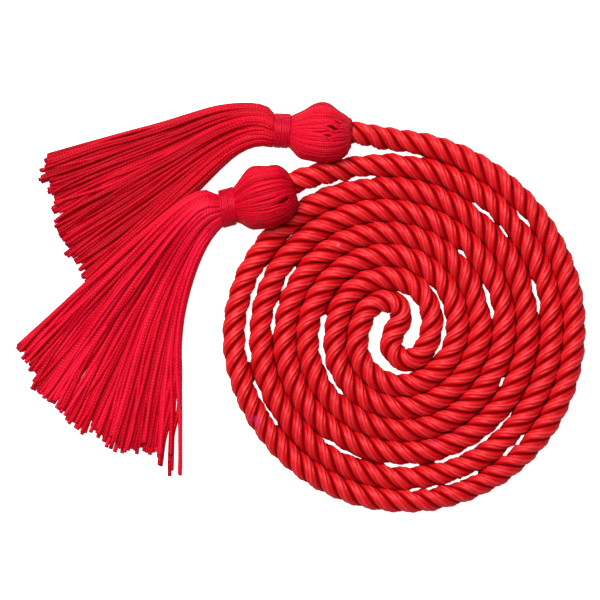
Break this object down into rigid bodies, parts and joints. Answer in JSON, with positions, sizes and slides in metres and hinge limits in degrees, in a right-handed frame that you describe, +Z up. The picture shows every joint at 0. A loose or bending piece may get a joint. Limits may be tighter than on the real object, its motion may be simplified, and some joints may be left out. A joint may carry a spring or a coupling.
{
  "type": "honor cord",
  "caption": "Graduation honor cord: a long three-strand satin cord wound flat into a double coil, with a bound yarn tassel at each end.",
  "frame": {"origin": "on the surface the cord lies on, at the middle of the coil, under the S-shaped centre of the cord", "axes": "+Z up from the surface, +X away from the tassels' fringes, +Y to the side where the tassels leave the coil"},
  "size_m": [0.1885, 0.1362, 0.0201],
  "materials": {
    "cord_rayon": "three-strand twisted rayon cord with a satin sheen, bright red",
    "tassel_yarn": "knitted rayon tassel yarn, crimson red, softly lustrous",
    "binding_thread": "the tassel's yarn wound round the neck, crimson red"
  },
  "bodies": {
    "root": {"cord": "cord_rayon", "upper_tassel": "tassel_yarn", "upper_binding": "binding_thread", "lower_tassel": "tassel_yarn", "lower_binding": "binding_thread"}
  },
  "joints": []
}
